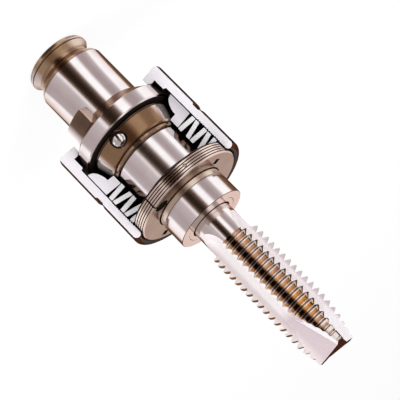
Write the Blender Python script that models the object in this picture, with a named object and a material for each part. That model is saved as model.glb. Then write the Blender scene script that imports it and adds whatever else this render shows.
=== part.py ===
"""Quick-change tapping collet with a ball torque clutch, shown cut open.

The part stands on the flat end of its shank knob, +Z runs to the tap's tip,
and the sector facing -Y is cut out of the housing, the thrust ring, the disc
springs and the spring seat, as on a display model.  All sizes are in metres.
"""
import math

import bmesh
import bpy
from mathutils import Matrix, Vector

mm = 0.001

# clearances
run_gap = 0.3 * mm        # radial, between pieces that turn or slide on each other
rest_gap = 0.3 * mm       # axial, between pieces that rest on each other
spring_gap = 0.15 * mm    # between the edges of neighbouring disc springs
pin_gap = 0.15 * mm       # round the small plug in the nut
edge_break = 0.2 * mm     # small bevels
guide_room = 1.0 * mm     # how far a guide reaches past the face that it cuts

# the cut-out
cut_angle = math.radians(148)
round_steps = 48

# shank
knob_radius = 8.95 * mm
knob_end_radius = 7.9 * mm
knob_rounding = 1.6 * mm
knob_band = 0.8 * mm
neck_radius = 7.75 * mm
neck_slope = 1.5 * mm
neck_width = 1.0 * mm
shoulder_height = 2.0 * mm
plug_radius = 9.5 * mm
plug_length = 21.9 * mm
plug_edge_break = 0.15 * mm

# flange and drive lugs
cone_height = 3.4 * mm
flange_width = 4.1 * mm    # from the drum's radius to the flange's
flange_height = 4.0 * mm
lug_width = 8.2 * mm
lug_radius = 12.0 * mm
lug_rise = 2.8 * mm
lug_azimuth = math.radians(-48)

# ball cage
cage_spigot_wall = 1.1 * mm
cage_spigot_length = 1.6 * mm
cage_groove = 0.3 * mm
cage_height = 5.4 * mm
cage_top_wall = 2.2 * mm
cage_bottom_wall = 0.9 * mm

# clutch
clutch_balls = 3
clutch_ball_radius = 2.0 * mm
clutch_ball_azimuth = math.radians(-76)
ball_drop = 2.3 * mm
detent_depth = 0.7 * mm
detent_climb = 0.7 * mm
slip_angle = math.radians(16)

# spindle
stem_wall = 1.2 * mm
stem_floor = 1.0 * mm
journal_step = 0.3 * mm    # from the drum's radius down to the journal's
drum_radius = 9.5 * mm
shoulder_drop = 2.1 * mm
drum_length = 10.3 * mm
nose_wall = 1.3 * mm
nose_chamfer = 0.5 * mm
ring_height = 1.0 * mm
ring_wall = 0.85 * mm
ring_depth = 0.35 * mm

# housing
housing_wall = 2.2 * mm
flange_side_gap = 1.1 * mm # from the flange to the housing's upper bore
lip_hole_height = 1.5 * mm
housing_edge = 0.5 * mm
upper_bore_step = 0.7 * mm
upper_bore_height = 4.0 * mm
upper_bore_slope = 0.4 * mm
lip_hole_gap = 0.5 * mm
grip_groove_depth = 0.4 * mm
grip_groove_width = 2.6 * mm
grip_groove_drop = 12.8 * mm
grip_groove_slope = 0.3 * mm
skirt_relief = 0.15 * mm
skirt_setback = 0.2 * mm   # from the nut's face to the housing's end

# thrust ring
ring_nose_height = 4.4 * mm
ring_step_height = 2.8 * mm
ring_nose_rise = 1.3 * mm
ring_tip_width = 1.2 * mm
ring_tip_drop = 0.35 * mm
ring_waist = 0.55 * mm
ring_step_relief = 0.15 * mm
# the nose's curve, as radius and height from a clutch ball's outermost point
ring_nose_curve = [(0.25 * mm, 0.0), (-0.15 * mm, 1.0 * mm), (-0.45 * mm, 2.0 * mm)]

# disc springs
disc_count = 4
disc_thickness = 1.25 * mm
disc_cone = 0.78 * mm
disc_bore_gap = 0.7 * mm
seat_thickness = 1.2 * mm

# adjusting nut
nut_height = 3.8 * mm
nut_bore_gap = 0.4 * mm    # from the collar, which slides into the nut's bore
nut_slit = 0.45 * mm
nut_slit_azimuth = math.radians(-58)
nut_notch_width = 1.6 * mm
nut_notch_depth = 1.4 * mm
nut_notch_length = 1.5 * mm
nut_notch_azimuth = math.radians(-150)
screw_radius = 1.3 * mm
screw_length = 2.2 * mm
screw_recess = 0.5 * mm
screw_inset = 0.4 * mm
hex_radius = 0.68 * mm
hex_depth = 1.1 * mm
plug_pin_radius = 0.6 * mm
plug_pin_length = 1.6 * mm
plug_pin_azimuth = math.radians(-107)

# release collar
collar_radius = 9.7 * mm
collar_chamfer_height = 1.4 * mm
collar_chamfer_depth = 1.0 * mm
collar_guide = 0.8 * mm
collar_land = 1.6 * mm
collar_ramp = 1.4 * mm
collar_relief_wall = 1.0 * mm
collar_front = 1.7 * mm
collar_nut_gap = 0.1 * mm
collar_travel = 2.2 * mm
lock_balls = 3
lock_ball_radius = 1.0 * mm
lock_ball_azimuth = math.radians(-16)
lock_ball_gap = 0.2 * mm   # round the lock balls, on every side
lock_ball_drop = 1.0 * mm  # from the top of the collar's land to the balls' centres
snap_wire_height = 0.6 * mm
snap_wire_bite = 0.2 * mm
snap_wire_wall = 1.2 * mm
wire_on_ramp = 0.65        # how far down the collar's ramp the wire rests
spring_wire = 0.7 * mm
spring_turns = 2.5
spring_steps = 12          # straight pieces of wire in a turn
spring_side_gap = 0.4 * mm # from the nose to the wire

# tap, M14 x 2
tap_radius = 7.0 * mm
tap_length = 95.0 * mm
tap_shank_radius = 5.6 * mm
tap_square = 9.0 * mm
tap_square_length = 12.0 * mm
tap_grip_length = 50.0 * mm     # of the tap inside the holder
tap_neck_length = 8.0 * mm      # from the collar's face to the thread
tap_lead_length = 11.0 * mm
tap_lead_drop = 1.7 * mm
tap_core_radius = 2.9 * mm
tap_flutes = 3
tap_land_azimuth = math.radians(-99)
tap_land_angle = math.radians(60)
tap_point_length = 14.0 * mm
tap_point_angle = math.radians(14)
flute_lead_in = 1.5 * mm   # from the flute's start to the thread
flute_overrun = 6.0 * mm   # of the flute's cutter past the tip

# stations along the axis, worked out from the sizes above
flange_top = plug_length + cone_height
flange_bottom = flange_top + flange_height
cage_top = flange_bottom + cage_groove
cage_bottom = cage_top + cage_height
ball_height = cage_top + ball_drop
collar_rest = cage_bottom + rest_gap
ring_bottom = collar_rest + ring_height
thrust_top = ball_height - ring_nose_rise
thrust_bottom = thrust_top + ring_nose_height + ring_step_height
stack_top = thrust_bottom + spring_gap
disc_pitch = disc_thickness + disc_cone + spring_gap
seat_top = stack_top + disc_count * disc_pitch
nut_top = seat_top + seat_thickness + rest_gap
nut_face = nut_top + nut_height
drum_bottom = ring_bottom + drum_length
collar_top = nut_face + collar_nut_gap
ramp_top = collar_top + collar_guide + collar_land
wire_top = ramp_top + collar_ramp * wire_on_ramp
wire_bottom = wire_top + snap_wire_height
relief_bottom = wire_bottom + collar_travel + rest_gap
collar_face = relief_bottom + collar_front

# radii that follow from the fits
journal_radius = drum_radius - journal_step
flange_radius = drum_radius + flange_width
cage_bore = journal_radius + run_gap
shank_bore = tap_shank_radius + run_gap
stem_radius = shank_bore + stem_wall
plug_bore = stem_radius + run_gap
nose_radius = shank_bore + nose_wall
upper_bore = flange_radius + flange_side_gap
bore_radius = upper_bore + upper_bore_step
ring_radius = bore_radius - run_gap
housing_radius = bore_radius + housing_wall
disc_inner = drum_radius + disc_bore_gap
disc_outer = ring_radius
nut_bore_radius = collar_radius + nut_bore_gap
tap_bottom = collar_face - tap_grip_length
socket_floor = tap_bottom - rest_gap
stem_bottom = socket_floor - stem_floor
lock_ball_height = collar_top + collar_guide + lock_ball_drop
wire_inner = nose_radius - snap_wire_bite


def clear_scene():
    for old in list(bpy.data.objects):
        bpy.data.objects.remove(old, do_unlink=True)


def polar(radius, azimuth, height=0.0):
    return Vector((radius * math.cos(azimuth), radius * math.sin(azimuth), height))


def material(name, color, metallic, roughness):
    made = bpy.data.materials.new(name)
    made.use_nodes = True
    shader = made.node_tree.nodes["Principled BSDF"]
    shader.inputs["Base Color"].default_value = (*color, 1.0)
    shader.inputs["Metallic"].default_value = metallic
    shader.inputs["Roughness"].default_value = roughness
    return made


def add_object(name, work, finish=None, place=(0.0, 0.0, 0.0)):
    """Turn a finished bmesh into an object whose origin is at place."""
    bmesh.ops.remove_doubles(work, verts=work.verts, dist=1e-7)
    bmesh.ops.recalc_face_normals(work, faces=work.faces)
    bmesh.ops.translate(work, verts=work.verts, vec=-Vector(place))
    mesh = bpy.data.meshes.new(name)
    work.to_mesh(mesh)
    work.free()
    mesh.shade_smooth()
    mesh.set_sharp_from_angle(angle=math.radians(35))
    made = bpy.data.objects.new(name, mesh)
    made.location = place
    bpy.context.scene.collection.objects.link(made)
    if finish is not None:
        mesh.materials.append(finish)
    return made


def turned_mesh(outline, closed=True, start=0.0, sweep=2 * math.pi, steps=round_steps):
    """Spin an outline of (radius, height) points round the Z axis."""
    work = bmesh.new()
    points = [work.verts.new((radius, 0.0, height)) for radius, height in outline]
    edges = [work.edges.new(pair) for pair in zip(points, points[1:])]
    if closed:
        edges.append(work.edges.new((points[-1], points[0])))
    bmesh.ops.rotate(work, verts=points, matrix=Matrix.Rotation(start, 3, "Z"))
    whole = sweep > 2 * math.pi - 1e-6
    bmesh.ops.spin(work, geom=points + edges, axis=(0, 0, 1), angle=sweep,
                   steps=steps, use_merge=whole)
    bmesh.ops.remove_doubles(work, verts=work.verts, dist=1e-7)
    if not whole:
        rim = [edge for edge in work.edges if edge.is_boundary]
        bmesh.ops.holes_fill(work, edges=rim, sides=0)
    return work


def cut_open_mesh(outline):
    """Spin an outline over what the cut-out leaves, with a flat face at each end."""
    kept = 2 * math.pi - cut_angle
    start = -math.pi / 2 + cut_angle / 2
    steps = round(round_steps * kept / (2 * math.pi))
    return turned_mesh(outline, start=start, sweep=kept, steps=steps)


def cylinder_mesh(radius, bottom, top, sides=24):
    work = bmesh.new()
    bmesh.ops.create_cone(work, cap_ends=True, segments=sides, radius1=radius,
                          radius2=radius, depth=top - bottom)
    bmesh.ops.translate(work, verts=work.verts, vec=(0, 0, (top + bottom) / 2))
    return work


def radial_cylinder_mesh(radius, inner, outer, azimuth, height, sides=20):
    """A round bar that points away from the axis, from inner to outer radius."""
    work = cylinder_mesh(radius, inner, outer, sides)
    bmesh.ops.rotate(work, verts=work.verts, matrix=Matrix.Rotation(math.pi / 2, 3, "Y"))
    bmesh.ops.rotate(work, verts=work.verts, matrix=Matrix.Rotation(azimuth, 3, "Z"))
    bmesh.ops.translate(work, verts=work.verts, vec=(0, 0, height))
    return work


def box_mesh(length, width, height, centre, azimuth=0.0):
    """A block whose length lies along the azimuth and whose centre is given."""
    work = bmesh.new()
    bmesh.ops.create_cube(work, size=1.0)
    bmesh.ops.scale(work, verts=work.verts, vec=(length, width, height))
    bmesh.ops.rotate(work, verts=work.verts, matrix=Matrix.Rotation(azimuth, 3, "Z"))
    bmesh.ops.translate(work, verts=work.verts, vec=centre)
    return work


def capsule_mesh(radius, start, end, sides=16):
    """A bar with round ends whose end centres are start and end."""
    start, end = Vector(start), Vector(end)
    work = bmesh.new()
    bmesh.ops.create_uvsphere(work, u_segments=sides, v_segments=sides // 2 + 2, radius=radius)
    upper = [vert for vert in work.verts if vert.co.z > -radius * 0.01]
    bmesh.ops.translate(work, verts=upper, vec=(0, 0, (end - start).length))
    turn = Vector((0, 0, 1)).rotation_difference(end - start).to_matrix()
    bmesh.ops.rotate(work, verts=work.verts, matrix=turn)
    bmesh.ops.translate(work, verts=work.verts, vec=start)
    return work


def boolean(target, name, work, operation="DIFFERENCE"):
    """Cut or join with a guide that the finished model leaves out."""
    guide = add_object(name, work)
    guide.hide_render = True
    guide.display_type = "WIRE"
    modifier = target.modifiers.new(name, "BOOLEAN")
    modifier.operation = operation
    modifier.solver = "EXACT"
    modifier.object = guide
    return guide


def arc(centre, radius, first, last, steps):
    """Points (radius, height) along an arc in the turning plane, angles in degrees."""
    angles = [math.radians(first + (last - first) * i / steps) for i in range(steps + 1)]
    return [(centre[0] + radius * math.cos(a), centre[1] + radius * math.sin(a)) for a in angles]


def driver_body(finish):
    """Knob, neck, plug, cone, flange and the two drive lugs, bored for the spindle."""
    band_top = knob_rounding + knob_band
    neck_start = band_top + neck_slope
    neck_end = neck_start + neck_width
    recess_top = flange_bottom - cage_spigot_length - rest_gap
    shoulder = recess_top - shoulder_drop - rest_gap
    spigot_bore = cage_bore + cage_spigot_wall + run_gap
    outline = [
        (0.0, 0.0),
        (knob_end_radius, 0.0),
        (knob_end_radius + 0.75 * (knob_radius - knob_end_radius), knob_rounding * 0.45),
        (knob_radius, knob_rounding),
        (knob_radius, band_top),
        (neck_radius + 0.4 * (knob_radius - neck_radius), neck_start - neck_slope * 0.35),
        (neck_radius, neck_start),
        (neck_radius, neck_end),
        (neck_radius + 0.6 * (plug_radius - neck_radius), neck_end + shoulder_height * 0.4),
        (plug_radius - plug_edge_break, neck_end + shoulder_height * 0.8),
        (plug_radius, neck_end + shoulder_height * 1.15),
        (plug_radius, plug_length),
        (flange_radius, flange_top),
        (flange_radius, flange_bottom),
        (spigot_bore, flange_bottom),
        (spigot_bore, recess_top),
        (cage_bore, recess_top),
        (cage_bore, shoulder),
        (plug_bore, shoulder),
        (plug_bore, stem_bottom - rest_gap),
        (0.0, stem_bottom - rest_gap),
    ]
    body = add_object("driver_body", turned_mesh(outline, closed=False), finish)
    lug_top = plug_length - lug_rise
    lug_inner = (plug_bore + plug_radius) / 2
    lug_bottom = shoulder - rest_gap
    for side in range(2):
        block = lug_mesh(lug_inner, lug_radius, lug_width, lug_top, lug_bottom,
                         lug_azimuth + side * math.pi)
        boolean(body, f"lug_guide_{side + 1}", block, "UNION")
    return body


def lug_mesh(inner, outer, width, bottom, top, azimuth, steps=6):
    """A block with parallel sides whose outer face is round the Z axis."""
    work = bmesh.new()
    half = math.asin(width / 2 / outer)
    ring = [Vector((inner, -width / 2, bottom))]
    ring += [polar(outer, half * (2 * i / steps - 1), bottom) for i in range(steps + 1)]
    ring.append(Vector((inner, width / 2, bottom)))
    face = work.faces.new([work.verts.new(point) for point in ring])
    raised = bmesh.ops.extrude_face_region(work, geom=[face])
    lifted = [item for item in raised["geom"] if isinstance(item, bmesh.types.BMVert)]
    bmesh.ops.translate(work, verts=lifted, vec=(0, 0, top - bottom))
    bmesh.ops.rotate(work, verts=work.verts, matrix=Matrix.Rotation(azimuth, 3, "Z"))
    return work


def ball_cage(finish):
    """Ring that holds the clutch balls, spigoted into the flange."""
    spigot = cage_bore + cage_spigot_wall
    top_radius = cage_bore + cage_top_wall
    bottom_radius = cage_bore + cage_bottom_wall
    lip = 0.35 * mm
    outline = [
        (cage_bore, flange_bottom - cage_spigot_length),
        (spigot, flange_bottom - cage_spigot_length),
        (spigot, cage_top),
        (top_radius - lip, cage_top),
        (top_radius, cage_top + lip),
        (bottom_radius, cage_bottom - lip),
        (bottom_radius - lip, cage_bottom),
        (cage_bore, cage_bottom),
    ]
    cage = add_object("ball_cage", turned_mesh(outline), finish)
    for index in range(clutch_balls):
        azimuth = clutch_ball_azimuth + index * 2 * math.pi / clutch_balls
        hole = radial_cylinder_mesh(clutch_ball_radius + run_gap, journal_radius / 2,
                                    2 * journal_radius, azimuth, ball_height)
        boolean(cage, f"cage_hole_guide_{index + 1}", hole)
    return cage


def ball_rest_radius():
    """Distance of a clutch ball's centre from the axis at rest."""
    return journal_radius - detent_depth + clutch_ball_radius


def ball(name, radius, centre, finish, sides):
    work = bmesh.new()
    bmesh.ops.create_uvsphere(work, u_segments=sides, v_segments=sides * 2 // 3, radius=radius)
    bmesh.ops.translate(work, verts=work.verts, vec=centre)
    return add_object(name, work, finish, centre)


def spindle(finish):
    """Stem with the square socket, clutch journal, drum and the nose that holds the tap."""
    shoulder = flange_bottom - cage_spigot_length - shoulder_drop
    groove_top = cage_bottom
    groove_bottom = ring_bottom + rest_gap
    groove_radius = drum_radius - ring_depth - run_gap
    groove_room = 0.1 * mm
    bevel = 0.4 * mm
    outline = [
        (0.0, stem_bottom),
        (stem_radius - bevel, stem_bottom),
        (stem_radius, stem_bottom + bevel),
        (stem_radius, shoulder),
        (journal_radius, shoulder),
        (journal_radius, groove_top),
        (groove_radius, groove_top),
        (groove_radius, groove_bottom),
        (drum_radius, groove_bottom),
        (drum_radius, drum_bottom - bevel),
        (drum_radius - bevel, drum_bottom),
        (nose_radius, drum_bottom),
        (nose_radius, wire_top - groove_room),
        (wire_inner - run_gap, wire_top - groove_room),
        (wire_inner - run_gap, wire_bottom + groove_room),
        (nose_radius, wire_bottom + groove_room),
        (nose_radius, collar_face - edge_break),
        (nose_radius - edge_break, collar_face),
        (shank_bore + nose_chamfer, collar_face),
        (shank_bore, collar_face - nose_chamfer),
        (shank_bore, tap_bottom + tap_square_length),
        (0.0, tap_bottom + tap_square_length),
    ]
    body = add_object("spindle", turned_mesh(outline, closed=False), finish)
    boolean(body, "socket_guide", square_bar(tap_square / 2 + run_gap, shank_bore,
                                             socket_floor,
                                             tap_bottom + tap_square_length + rest_gap))
    inner = ball_rest_radius()
    for index in range(clutch_balls):
        azimuth = clutch_ball_azimuth + index * 2 * math.pi / clutch_balls
        deep = polar(inner, azimuth, ball_height)
        crest = polar(inner + detent_climb, azimuth + slip_angle, ball_height)
        pocket = capsule_mesh(clutch_ball_radius + run_gap, deep, crest)
        boolean(body, f"detent_guide_{index + 1}", pocket)
    for index in range(lock_balls):
        azimuth = lock_ball_azimuth + index * 2 * math.pi / lock_balls
        hole = radial_cylinder_mesh(lock_ball_radius + lock_ball_gap, shank_bore / 2,
                                    nose_radius * 1.5, azimuth, lock_ball_height, sides=12)
        boolean(body, f"lock_hole_guide_{index + 1}", hole)
    return body


def square_bar(half_width, corner_radius, bottom, top, corner_steps=3):
    """A bar of square section whose corners lie on a circle."""
    work = bmesh.new()
    half_corner = math.pi / 4 - math.acos(half_width / corner_radius)
    ring = []
    for side in range(4):
        middle = math.pi / 4 + side * math.pi / 2
        for step in range(corner_steps + 1):
            angle = middle - half_corner + 2 * half_corner * step / corner_steps
            ring.append(work.verts.new(polar(corner_radius, angle, bottom)))
    face = work.faces.new(ring)
    raised = bmesh.ops.extrude_face_region(work, geom=[face])
    lifted = [item for item in raised["geom"] if isinstance(item, bmesh.types.BMVert)]
    bmesh.ops.translate(work, verts=lifted, vec=(0, 0, top - bottom))
    return work


def spindle_snap_ring(finish):
    inner = drum_radius - ring_depth
    outer = inner + ring_wall
    outline = [
        (inner, collar_rest),
        (outer - edge_break, collar_rest),
        (outer, collar_rest + edge_break),
        (outer, ring_bottom - edge_break),
        (outer - edge_break, ring_bottom),
        (inner, ring_bottom),
    ]
    opening = math.radians(14)
    work = turned_mesh(outline, start=math.pi / 2 + opening / 2,
                       sweep=2 * math.pi - opening, steps=round_steps)
    return add_object("spindle_snap_ring", work, finish)


def thrust_ring(finish):
    """Ring with the curved nose that presses the clutch balls into their detents."""
    contact = ball_rest_radius() + clutch_ball_radius + run_gap
    step_radius = disc_inner + ring_step_relief
    nose_bottom = thrust_top + ring_nose_height
    outline = [
        (ring_radius, thrust_top),
        (ring_radius - ring_tip_width, thrust_top + ring_tip_drop),
    ]
    outline += [(contact + out, ball_height + down) for out, down in ring_nose_curve]
    outline += [
        (contact - ring_waist, nose_bottom),
        (step_radius, nose_bottom),
        (step_radius, thrust_bottom),
        (ring_radius, thrust_bottom),
    ]
    return add_object("thrust_ring", cut_open_mesh(outline), finish)


def disc_springs(finish):
    """Disc springs in series: each one's cone leans against the next one's."""
    made = []
    for index in range(disc_count):
        top = stack_top + index * disc_pitch
        inner_top = top if index % 2 == 0 else top + disc_cone
        outer_top = top + disc_cone if index % 2 == 0 else top
        outline = [
            (disc_inner, inner_top),
            (disc_outer, outer_top),
            (disc_outer, outer_top + disc_thickness),
            (disc_inner, inner_top + disc_thickness),
        ]
        made.append(add_object(f"disc_spring_{index + 1}", cut_open_mesh(outline), finish,
                               (0.0, 0.0, top)))
    return made


def spring_seat(finish):
    outline = [
        (disc_inner, seat_top),
        (disc_outer - edge_break, seat_top),
        (disc_outer, seat_top + edge_break),
        (disc_outer, seat_top + seat_thickness),
        (disc_inner, seat_top + seat_thickness),
    ]
    return add_object("spring_seat", cut_open_mesh(outline), finish, (0.0, 0.0, seat_top))


def housing(finish):
    """Sleeve with an inward lip that hooks over the flange's cone."""
    slope = (flange_radius - plug_radius) / cone_height
    lip_hole = lug_radius + lip_hole_gap
    lift = 0.4 * mm
    seat_height = flange_top - lift
    hole_edge = seat_height - (flange_radius - lip_hole) / slope
    top = hole_edge - lip_hole_height
    step = seat_height + upper_bore_height
    groove_top = top + grip_groove_drop
    groove_bottom = groove_top + grip_groove_width
    groove_radius = housing_radius - grip_groove_depth
    skirt = housing_radius - skirt_relief
    end = nut_face - skirt_setback
    nib = (skirt - bore_radius) / 2
    outline = [
        (lip_hole, top),
        (housing_radius - housing_edge, top),
        (housing_radius, top + housing_edge),
        (housing_radius, groove_top),
        (groove_radius, groove_top + grip_groove_slope),
        (groove_radius, groove_bottom - grip_groove_slope),
        (skirt, groove_bottom),
    ]
    outline += arc((bore_radius + nib, end - nib), nib, 0, 180, 8)
    outline += [
        (bore_radius, step),
        (upper_bore, step - upper_bore_slope),
        (upper_bore, seat_height),
        (flange_radius, seat_height),
        (lip_hole, hole_edge),
    ]
    return add_object("housing", cut_open_mesh(outline), finish)


def adjusting_nut(finish):
    """Threaded ring that loads the springs, slit so that its screw can lock it."""
    bevel = 0.4 * mm
    outline = [
        (nut_bore_radius, nut_top),
        (ring_radius - bevel, nut_top),
        (ring_radius, nut_top + bevel),
        (ring_radius, nut_face - bevel),
        (ring_radius - bevel, nut_face),
        (nut_bore_radius + bevel, nut_face),
        (nut_bore_radius, nut_face - bevel),
    ]
    nut = add_object("adjusting_nut", turned_mesh(outline), finish)
    middle = (nut_bore_radius + ring_radius) / 2
    slit_centre = polar(nut_bore_radius + ring_radius / 2 - guide_room, nut_slit_azimuth,
                        (nut_top + nut_face) / 2)
    slit = box_mesh(ring_radius, nut_slit, 2 * nut_height, slit_centre, nut_slit_azimuth)
    boolean(nut, "slit_guide", slit)
    centre = screw_centre()
    hole = cylinder_mesh(screw_radius + run_gap, nut_face - screw_recess - screw_length - rest_gap,
                         nut_face + guide_room, 20)
    bmesh.ops.translate(hole, verts=hole.verts, vec=(centre.x, centre.y, 0.0))
    boolean(nut, "screw_hole_guide", hole)
    for side in range(2):
        azimuth = nut_notch_azimuth + side * math.pi
        notch = box_mesh(nut_notch_length, nut_notch_width, 2 * nut_notch_depth,
                         polar(middle, azimuth, nut_face), azimuth)
        boolean(nut, f"notch_guide_{side + 1}", notch)
    pin = radial_cylinder_mesh(plug_pin_radius + pin_gap,
                               ring_radius - plug_pin_length - rest_gap,
                               ring_radius + guide_room, plug_pin_azimuth,
                               (nut_top + nut_face) / 2, 12)
    boolean(nut, "lock_plug_guide", pin)
    return nut


def screw_centre():
    """The locking screw sits beside the slit, halfway across the nut's face."""
    return polar((nut_bore_radius + ring_radius) / 2 - screw_inset, nut_slit_azimuth)


def nut_lock_screw(finish):
    """Socket-head screw that spreads the slit."""
    top = nut_face - screw_recess
    work = cylinder_mesh(screw_radius, top - screw_length, top, 20)
    centre = screw_centre()
    bmesh.ops.translate(work, verts=work.verts, vec=(centre.x, centre.y, 0.0))
    screw = add_object("nut_lock_screw", work, finish, (centre.x, centre.y, top))
    socket = cylinder_mesh(hex_radius, top - hex_depth, top + guide_room, 6)
    bmesh.ops.translate(socket, verts=socket.verts, vec=(centre.x, centre.y, 0.0))
    boolean(screw, "hex_guide", socket)
    return screw


def nut_lock_plug(finish):
    """Nylon plug that keeps the nut's thread from creeping."""
    height = (nut_top + nut_face) / 2
    work = radial_cylinder_mesh(plug_pin_radius, ring_radius - plug_pin_length, ring_radius,
                                plug_pin_azimuth, height, 12)
    return add_object("nut_lock_plug", work, finish, polar(ring_radius, plug_pin_azimuth, height))


def release_collar(finish):
    """Sliding collar: its land holds the lock balls in, its relief lets them out."""
    guide = nose_radius + run_gap
    land = lock_ball_rest_radius() + lock_ball_radius + lock_ball_gap
    relief = collar_radius - collar_relief_wall
    land_top = collar_top + collar_guide
    ramp_bottom = ramp_top + collar_ramp
    outline = [
        (guide, collar_top),
        (collar_radius - collar_chamfer_depth, collar_top),
        (collar_radius, collar_top + collar_chamfer_height),
        (collar_radius, collar_face - edge_break),
        (collar_radius - edge_break, collar_face),
        (guide + edge_break, collar_face),
        (guide, collar_face - edge_break),
        (guide, relief_bottom),
        (relief, relief_bottom),
        (relief, ramp_bottom),
        (land, ramp_top),
        (land, land_top),
        (guide, land_top),
    ]
    return add_object("release_collar", turned_mesh(outline), finish, (0.0, 0.0, collar_top))


def lock_ball_rest_radius():
    """Distance of a lock ball's centre from the axis while it holds the tap."""
    return tap_shank_radius + lock_ball_gap + lock_ball_radius


def collar_snap_ring(finish):
    outer = wire_inner + snap_wire_wall
    bevel = 0.15 * mm
    outline = [
        (wire_inner, wire_top),
        (outer - bevel, wire_top),
        (outer, wire_top + bevel),
        (outer, wire_bottom - bevel),
        (outer - bevel, wire_bottom),
        (wire_inner, wire_bottom),
    ]
    opening = math.radians(20)
    work = turned_mesh(outline, start=math.pi / 2 + opening / 2,
                       sweep=2 * math.pi - opening, steps=round_steps // 2)
    return add_object("collar_snap_ring", work, finish, (0.0, 0.0, wire_top))


def collar_spring(finish):
    """Wire spring between the drum's end face and the collar."""
    clear = spring_wire / 2 + run_gap
    low = drum_bottom + clear
    high = collar_top - clear
    radius = nose_radius + spring_side_gap + spring_wire / 2
    curve = bpy.data.curves.new("collar_spring", "CURVE")
    curve.dimensions = "3D"
    curve.bevel_depth = spring_wire / 2
    curve.bevel_resolution = 2
    curve.use_fill_caps = True
    steps = int(spring_turns * spring_steps)
    path = curve.splines.new("POLY")
    path.points.add(steps)
    for index in range(steps + 1):
        share = index / steps
        point = polar(radius, share * spring_turns * 2 * math.pi, low + (high - low) * share)
        path.points[index].co = (point.x, point.y, point.z, 1.0)
    curve.materials.append(finish)
    spring = bpy.data.objects.new("collar_spring", curve)
    bpy.context.scene.collection.objects.link(spring)
    return spring


def tap(finish):
    """Three-flute tap with a spiral point and a square driving end."""
    tip = tap_bottom + tap_length
    thread_start = collar_face + tap_neck_length
    lead_start = tip - tap_lead_length
    bevel = 0.5 * mm
    outline = [
        (0.0, tap_bottom),
        (tap_shank_radius - bevel, tap_bottom),
        (tap_shank_radius, tap_bottom + bevel),
        (tap_shank_radius, thread_start - bevel),
        (tap_radius, thread_start),
        (tap_radius, lead_start),
        (tap_radius - tap_lead_drop, tip),
        (0.0, tip),
    ]
    body = add_object("tap", turned_mesh(outline, closed=False), finish, (0.0, 0.0, tap_bottom))
    for side in range(4):
        azimuth = side * math.pi / 2
        flat = box_mesh(tap_shank_radius, 4 * tap_shank_radius, 2 * tap_square_length,
                        polar((tap_square + tap_shank_radius) / 2, azimuth, tap_bottom), azimuth)
        boolean(body, f"flat_guide_{side + 1}", flat)
    cutter_radius, cutter_centre = flute_circle()
    for index in range(tap_flutes):
        azimuth = (tap_land_azimuth + math.pi / tap_flutes
                   + index * 2 * math.pi / tap_flutes)
        begin = polar(cutter_centre, azimuth, thread_start - flute_lead_in)
        end = polar(cutter_centre, azimuth, tip + flute_overrun)
        boolean(body, f"flute_guide_{index + 1}", capsule_mesh(cutter_radius, end, begin, 24))
        hinge = tip - tap_point_length
        lean = (tap_point_length + flute_overrun) * math.tan(tap_point_angle)
        sideways = polar(1.0, azimuth - math.pi / 2)
        tilted_end = end + sideways * lean
        hinge_point = polar(cutter_centre, azimuth, hinge)
        boolean(body, f"point_guide_{index + 1}",
                capsule_mesh(cutter_radius, tilted_end, hinge_point, 24))
    return body


def flute_circle():
    """Radius and centre distance of the round flute that leaves lands of the given angle."""
    half = math.pi / tap_flutes - tap_land_angle / 2
    reach = tap_radius * math.cos(half) - tap_core_radius
    rise = tap_radius * math.sin(half)
    radius = (reach ** 2 + rise ** 2) / (2 * reach)
    return radius, tap_core_radius + radius


def main():
    clear_scene()
    ground_steel = material("ground_steel", (0.62, 0.58, 0.60), 1.0, 0.22)
    bronze_steel = material("bronze_steel", (0.35, 0.22, 0.14), 1.0, 0.35)
    section_white = material("section_white", (0.80, 0.77, 0.86), 0.2, 0.45)
    black_oxide = material("black_oxide", (0.05, 0.035, 0.03), 0.8, 0.4)
    gold_steel = material("gold_steel", (0.62, 0.42, 0.16), 1.0, 0.28)
    nylon = material("nylon", (0.75, 0.72, 0.65), 0.0, 0.5)

    driver_body(ground_steel)
    ball_cage(bronze_steel)
    housing(section_white)
    spindle(ground_steel)
    spindle_snap_ring(black_oxide)
    for index in range(clutch_balls):
        azimuth = clutch_ball_azimuth + index * 2 * math.pi / clutch_balls
        centre = polar(ball_rest_radius(), azimuth, ball_height)
        ball(f"clutch_ball_{index + 1}", clutch_ball_radius, centre, ground_steel, 16)
    thrust_ring(section_white)
    disc_springs(section_white)
    spring_seat(section_white)
    adjusting_nut(bronze_steel)
    nut_lock_screw(black_oxide)
    nut_lock_plug(nylon)
    release_collar(ground_steel)
    collar_spring(ground_steel)
    collar_snap_ring(black_oxide)
    for index in range(lock_balls):
        azimuth = lock_ball_azimuth + index * 2 * math.pi / lock_balls
        centre = polar(lock_ball_rest_radius(), azimuth, lock_ball_height)
        ball(f"lock_ball_{index + 1}", lock_ball_radius, centre, ground_steel, 12)
    tap(gold_steel)


main()
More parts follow.
